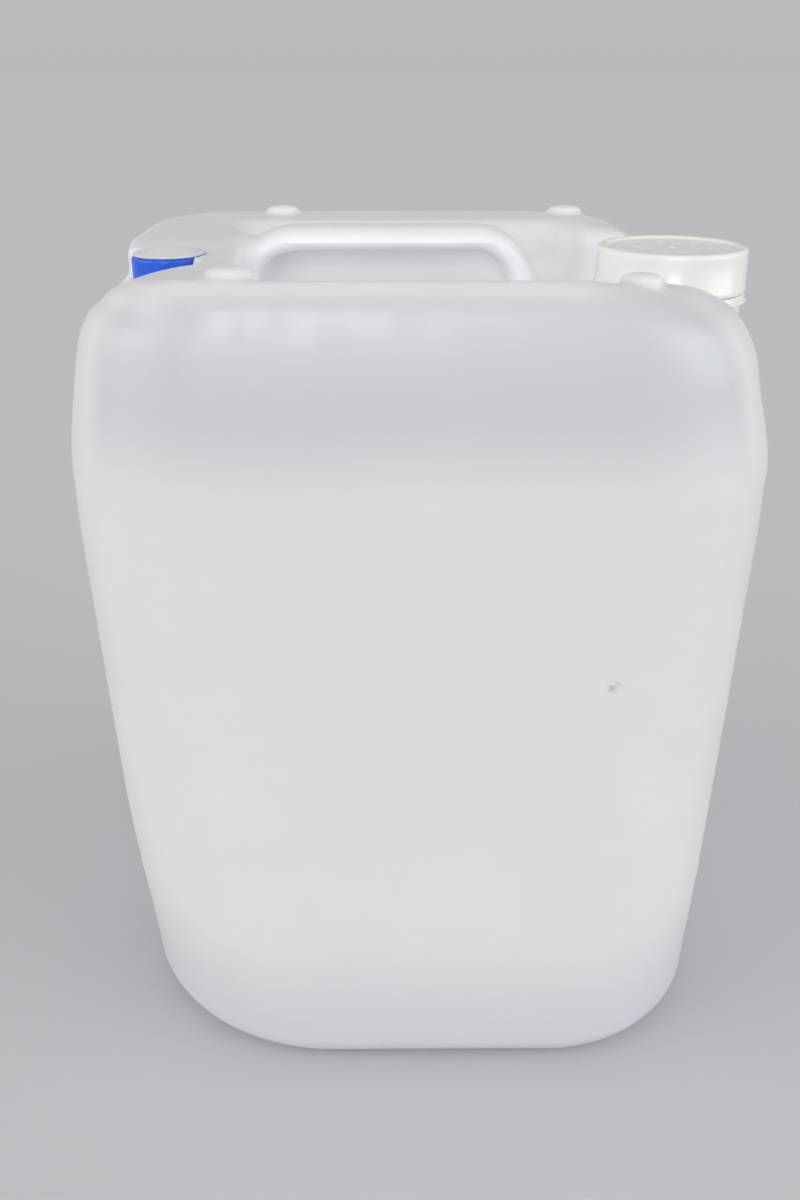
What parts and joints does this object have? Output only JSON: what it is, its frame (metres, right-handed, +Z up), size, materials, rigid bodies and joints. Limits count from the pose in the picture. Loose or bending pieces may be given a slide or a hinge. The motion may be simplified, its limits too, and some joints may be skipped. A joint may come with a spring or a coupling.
{
  "type": "fresh water tank",
  "caption": "Upright moulded water can with a handle across a hand valley, a large screw cap with tamper band at one corner and a small screw vent at the other.",
  "frame": {"origin": "middle of the base, on the floor", "axes": "+Z up the tank, front at -Y, main cap at +X, vent at -X"},
  "size_m": [0.301, 0.246, 0.3865],
  "materials": {
    "natural_tank": "natural translucent polyethylene, satin, cool white",
    "cream_cap": "glossy off-white polypropylene",
    "cap_liner": "closed-cell foam, matte",
    "blue_vent": "glossy blue polypropylene",
    "natural_vent": "natural translucent polyethylene, satin",
    "seal_rubber": "matte black rubber"
  },
  "bodies": {
    "tank": {"tank_body": "natural_tank", "tank_handle": "natural_tank", "main_neck": "natural_tank", "vent_neck": "natural_tank", "main_tamper_band": "cream_cap", "vent_seal": "seal_rubber"},
    "main_liner": {"main_cap_liner": "cap_liner"},
    "main_cap": {"main_cap": "cream_cap"},
    "vent_disc": {"vent_disc": "natural_vent"},
    "vent_ring": {"vent_ring": "blue_vent"}
  },
  "joints": [
    {"name": "main_cap_rise", "type": "slide", "parent": "tank", "child": "main_liner", "axis": [0, 0, 1], "range_m": [0, 0.0081]},
    {"name": "main_cap_turn", "type": "hinge", "parent": "main_liner", "child": "main_cap", "pos_m": [0.1115, -0.018, 0.37], "axis": [0, 0, 1], "range_deg": [0, 720]},
    {"name": "vent_rise", "type": "slide", "parent": "tank", "child": "vent_disc", "axis": [0, 0, 1], "range_m": [0, 0.0061]},
    {"name": "vent_turn", "type": "hinge", "parent": "vent_disc", "child": "vent_ring", "pos_m": [-0.106, -0.04, 0.375], "axis": [0, 0, 1], "range_deg": [0, 720]}
  ],
  "couplings": [
    {"joint": "main_cap_rise", "follows": "main_cap_turn", "m_per_rad": 0.00063662},
    {"joint": "vent_rise", "follows": "vent_turn", "m_per_rad": 0.00047746}
  ]
}
